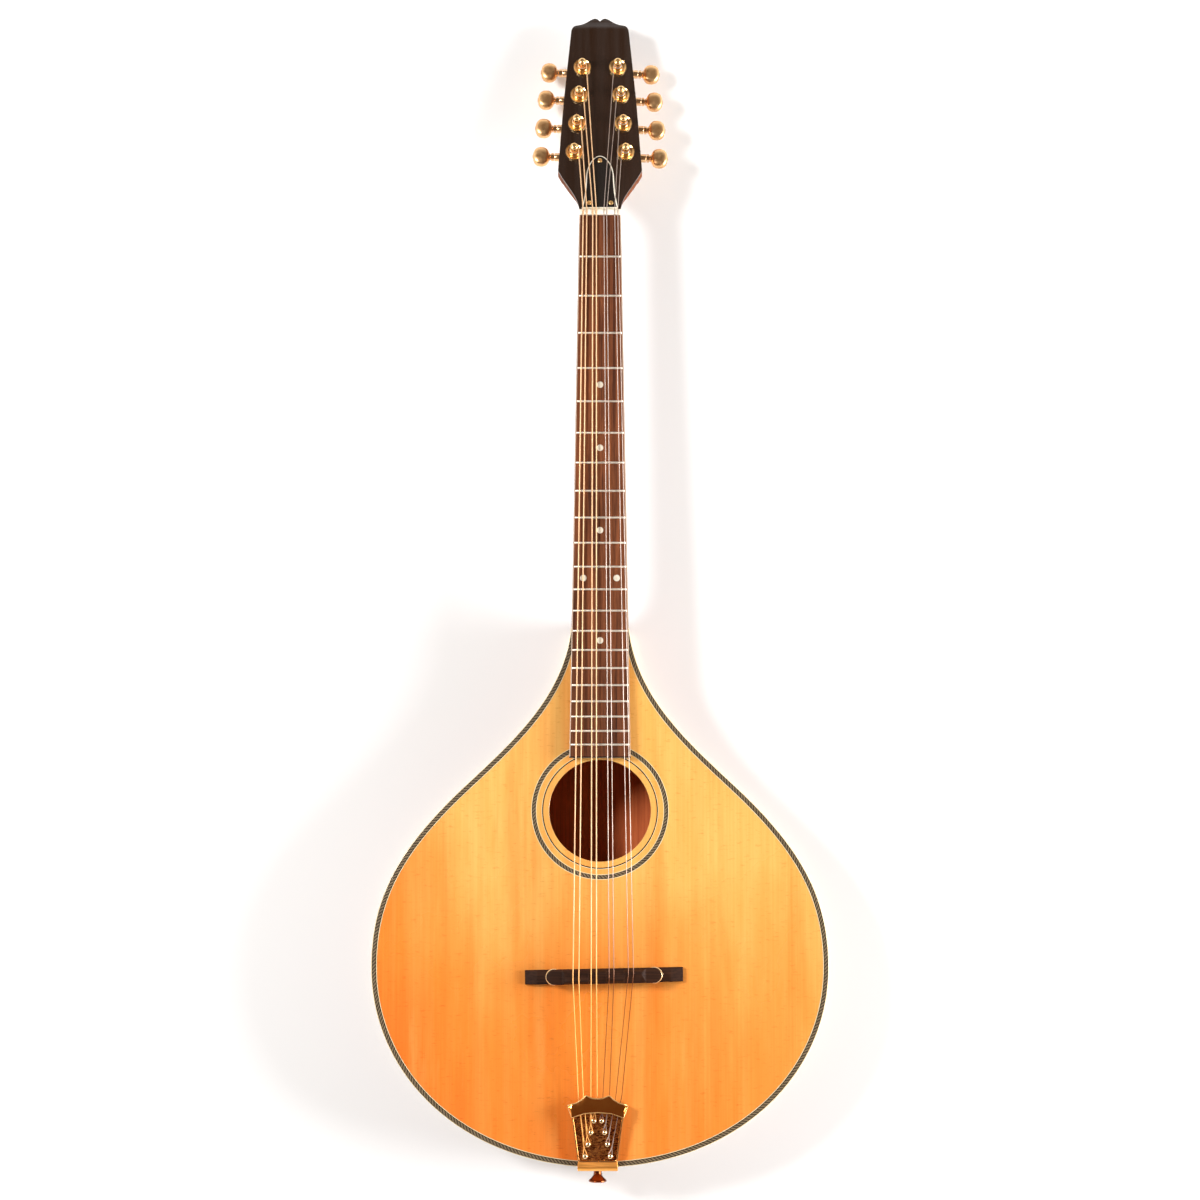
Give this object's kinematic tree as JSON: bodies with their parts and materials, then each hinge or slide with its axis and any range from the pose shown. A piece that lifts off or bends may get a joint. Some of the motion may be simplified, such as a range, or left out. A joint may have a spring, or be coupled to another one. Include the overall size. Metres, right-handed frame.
{
  "type": "bouzouki",
  "caption": "Long-necked flat-top bouzouki with a teardrop body, round soundhole, floating bridge, gold tailpiece and geared tuners.",
  "frame": {"origin": "on the outer face of the flat back, on the centre line, straight below the nominal saddle line, where the strings' scale length ends", "axes": "+Z out of the soundboard, +Y along the body's centre line towards the headstock, +X to the treble side; the instrument lies on its back"},
  "size_m": [0.39, 1.0283, 0.1029],
  "materials": {
    "spruce": "clear gloss lacquer over honey-coloured spruce with fine straight grain",
    "brace_spruce": "bare sanded spruce",
    "mahogany": "gloss lacquer over red-brown mahogany",
    "rosewood": "oiled, open-grained rosewood",
    "ebony": "polished, near black with brown streaks",
    "black_veneer": "black wood veneer under high-gloss lacquer",
    "black_cover": "polished black with a white bevelled edge",
    "bone": "polished bone or ivory-coloured plastic",
    "binding": "grey-brown herringbone marquetry under lacquer",
    "gold": "polished gold plate",
    "wound_string": "bronze wire wound round a steel core",
    "plain_string": "bright plain steel wire",
    "steel": "bare steel rod"
  },
  "bodies": {
    "root": {"soundboard": "spruce", "back": "mahogany", "sides": "mahogany", "neck_block": "mahogany", "tail_block": "mahogany", "x_brace": "brace_spruce", "neck": "mahogany", "headstock_veneer": "black_veneer", "fretboard": "rosewood", "nut": "bone", "truss_rod": "steel", "truss_rod_cover": "black_cover", "bridge_base": "ebony", "bridge_stud_bass": "gold", "bridge_stud_treble": "gold", "tailpiece": "gold", "end_pin": "gold", "string_bass_1": "wound_string", "string_bass_2": "wound_string", "string_bass_3": "wound_string", "string_bass_4": "wound_string", "string_treble_1": "plain_string", "string_treble_2": "plain_string", "string_treble_3": "plain_string", "string_treble_4": "plain_string", "tuner_bass_1_housing": "gold", "tuner_bass_1_bushing": "gold", "tuner_bass_2_housing": "gold", "tuner_bass_2_bushing": "gold", "tuner_bass_3_housing": "gold", "tuner_bass_3_bushing": "gold", "tuner_bass_4_housing": "gold", "tuner_bass_4_bushing": "gold", "tuner_treble_1_housing": "gold", "tuner_treble_1_bushing": "gold", "tuner_treble_2_housing": "gold", "tuner_treble_2_bushing": "gold", "tuner_treble_3_housing": "gold", "tuner_treble_3_bushing": "gold", "tuner_treble_4_housing": "gold", "tuner_treble_4_bushing": "gold"},
    "tuner_bass_1_button": {"tuner_bass_1_button": "gold"},
    "tuner_bass_1_post": {"tuner_bass_1_post": "gold"},
    "tuner_bass_2_button": {"tuner_bass_2_button": "gold"},
    "tuner_bass_2_post": {"tuner_bass_2_post": "gold"},
    "tuner_bass_3_button": {"tuner_bass_3_button": "gold"},
    "tuner_bass_3_post": {"tuner_bass_3_post": "gold"},
    "tuner_bass_4_button": {"tuner_bass_4_button": "gold"},
    "tuner_bass_4_post": {"tuner_bass_4_post": "gold"},
    "tuner_treble_1_button": {"tuner_treble_1_button": "gold"},
    "tuner_treble_1_post": {"tuner_treble_1_post": "gold"},
    "tuner_treble_2_button": {"tuner_treble_2_button": "gold"},
    "tuner_treble_2_post": {"tuner_treble_2_post": "gold"},
    "tuner_treble_3_button": {"tuner_treble_3_button": "gold"},
    "tuner_treble_3_post": {"tuner_treble_3_post": "gold"},
    "tuner_treble_4_button": {"tuner_treble_4_button": "gold"},
    "tuner_treble_4_post": {"tuner_treble_4_post": "gold"},
    "saddle": {"bridge_saddle": "ebony"},
    "thumbwheel_bass": {"thumbwheel_bass": "gold"},
    "thumbwheel_treble": {"thumbwheel_treble": "gold"}
  },
  "joints": [
    {"name": "tuner_bass_1_turn", "type": "hinge", "parent": "root", "child": "tuner_bass_1_button", "pos_m": [-0.05239, 0.722, 0.0375], "axis": [-0.9995, 0.0323, -0.0073], "continuous": true},
    {"name": "tuner_bass_1_post_turn", "type": "hinge", "parent": "root", "child": "tuner_bass_1_post", "pos_m": [-0.0226, 0.72005, 0.0605], "axis": [0, 0.2215, 0.9751], "continuous": true},
    {"name": "tuner_bass_2_turn", "type": "hinge", "parent": "root", "child": "tuner_bass_2_button", "pos_m": [-0.05029, 0.7493, 0.0313], "axis": [-0.9995, 0.0323, -0.0073], "continuous": true},
    {"name": "tuner_bass_2_post_turn", "type": "hinge", "parent": "root", "child": "tuner_bass_2_post", "pos_m": [-0.0205, 0.74736, 0.0543], "axis": [0, 0.2215, 0.9751], "continuous": true},
    {"name": "tuner_bass_3_turn", "type": "hinge", "parent": "root", "child": "tuner_bass_3_button", "pos_m": [-0.04829, 0.7769, 0.02502], "axis": [-0.9995, 0.0323, -0.0073], "continuous": true},
    {"name": "tuner_bass_3_post_turn", "type": "hinge", "parent": "root", "child": "tuner_bass_3_post", "pos_m": [-0.0185, 0.77495, 0.04803], "axis": [0, 0.2215, 0.9751], "continuous": true},
    {"name": "tuner_bass_4_turn", "type": "hinge", "parent": "root", "child": "tuner_bass_4_button", "pos_m": [-0.04559, 0.80371, 0.01893], "axis": [-0.9995, 0.0323, -0.0073], "continuous": true},
    {"name": "tuner_bass_4_post_turn", "type": "hinge", "parent": "root", "child": "tuner_bass_4_post", "pos_m": [-0.0158, 0.80177, 0.04193], "axis": [0, 0.2215, 0.9751], "continuous": true},
    {"name": "tuner_treble_1_turn", "type": "hinge", "parent": "root", "child": "tuner_treble_1_button", "pos_m": [0.05278, 0.72006, 0.03794], "axis": [0.9995, -0.0323, 0.0073], "continuous": true},
    {"name": "tuner_treble_1_post_turn", "type": "hinge", "parent": "root", "child": "tuner_treble_1_post", "pos_m": [0.0226, 0.72005, 0.0605], "axis": [0, 0.2215, 0.9751], "continuous": true},
    {"name": "tuner_treble_2_turn", "type": "hinge", "parent": "root", "child": "tuner_treble_2_button", "pos_m": [0.05068, 0.74736, 0.03173], "axis": [0.9995, -0.0323, 0.0073], "continuous": true},
    {"name": "tuner_treble_2_post_turn", "type": "hinge", "parent": "root", "child": "tuner_treble_2_post", "pos_m": [0.0205, 0.74736, 0.0543], "axis": [0, 0.2215, 0.9751], "continuous": true},
    {"name": "tuner_treble_3_turn", "type": "hinge", "parent": "root", "child": "tuner_treble_3_button", "pos_m": [0.04868, 0.77496, 0.02547], "axis": [0.9995, -0.0323, 0.0073], "continuous": true},
    {"name": "tuner_treble_3_post_turn", "type": "hinge", "parent": "root", "child": "tuner_treble_3_post", "pos_m": [0.0185, 0.77495, 0.04803], "axis": [0, 0.2215, 0.9751], "continuous": true},
    {"name": "tuner_treble_4_turn", "type": "hinge", "parent": "root", "child": "tuner_treble_4_button", "pos_m": [0.04598, 0.80177, 0.01937], "axis": [0.9995, -0.0323, 0.0073], "continuous": true},
    {"name": "tuner_treble_4_post_turn", "type": "hinge", "parent": "root", "child": "tuner_treble_4_post", "pos_m": [0.0158, 0.80177, 0.04193], "axis": [0, 0.2215, 0.9751], "continuous": true},
    {"name": "thumbwheel_bass_turn", "type": "hinge", "parent": "saddle", "child": "thumbwheel_bass", "pos_m": [-0.03909, -0.00085, 0.0915], "axis": [0, 0, 1], "range_deg": [-520, 1040]},
    {"name": "thumbwheel_treble_turn", "type": "hinge", "parent": "saddle", "child": "thumbwheel_treble", "pos_m": [0.04589, 0.00085, 0.0915], "axis": [0, 0, 1], "range_deg": [-520, 1040]},
    {"name": "saddle_height", "type": "slide", "parent": "root", "child": "saddle", "axis": [0, 0, 1], "range_m": [-0.001, 0.002], "deforming": ["string_bass_1", "string_bass_2", "string_bass_3", "string_bass_4", "string_treble_1", "string_treble_2", "string_treble_3", "string_treble_4"]}
  ],
  "couplings": [
    {"joint": "tuner_bass_1_post_turn", "follows": "tuner_bass_1_turn", "ratio": 0.066667},
    {"joint": "tuner_bass_2_post_turn", "follows": "tuner_bass_2_turn", "ratio": 0.066667},
    {"joint": "tuner_bass_3_post_turn", "follows": "tuner_bass_3_turn", "ratio": 0.066667},
    {"joint": "tuner_bass_4_post_turn", "follows": "tuner_bass_4_turn", "ratio": 0.066667},
    {"joint": "tuner_treble_1_post_turn", "follows": "tuner_treble_1_turn", "ratio": -0.066667},
    {"joint": "tuner_treble_2_post_turn", "follows": "tuner_treble_2_turn", "ratio": -0.066667},
    {"joint": "tuner_treble_3_post_turn", "follows": "tuner_treble_3_turn", "ratio": -0.066667},
    {"joint": "tuner_treble_4_post_turn", "follows": "tuner_treble_4_turn", "ratio": -0.066667},
    {"joint": "thumbwheel_bass_turn", "follows": "saddle_height", "rad_per_m": 8976},
    {"joint": "thumbwheel_treble_turn", "follows": "saddle_height", "rad_per_m": 8976}
  ]
}
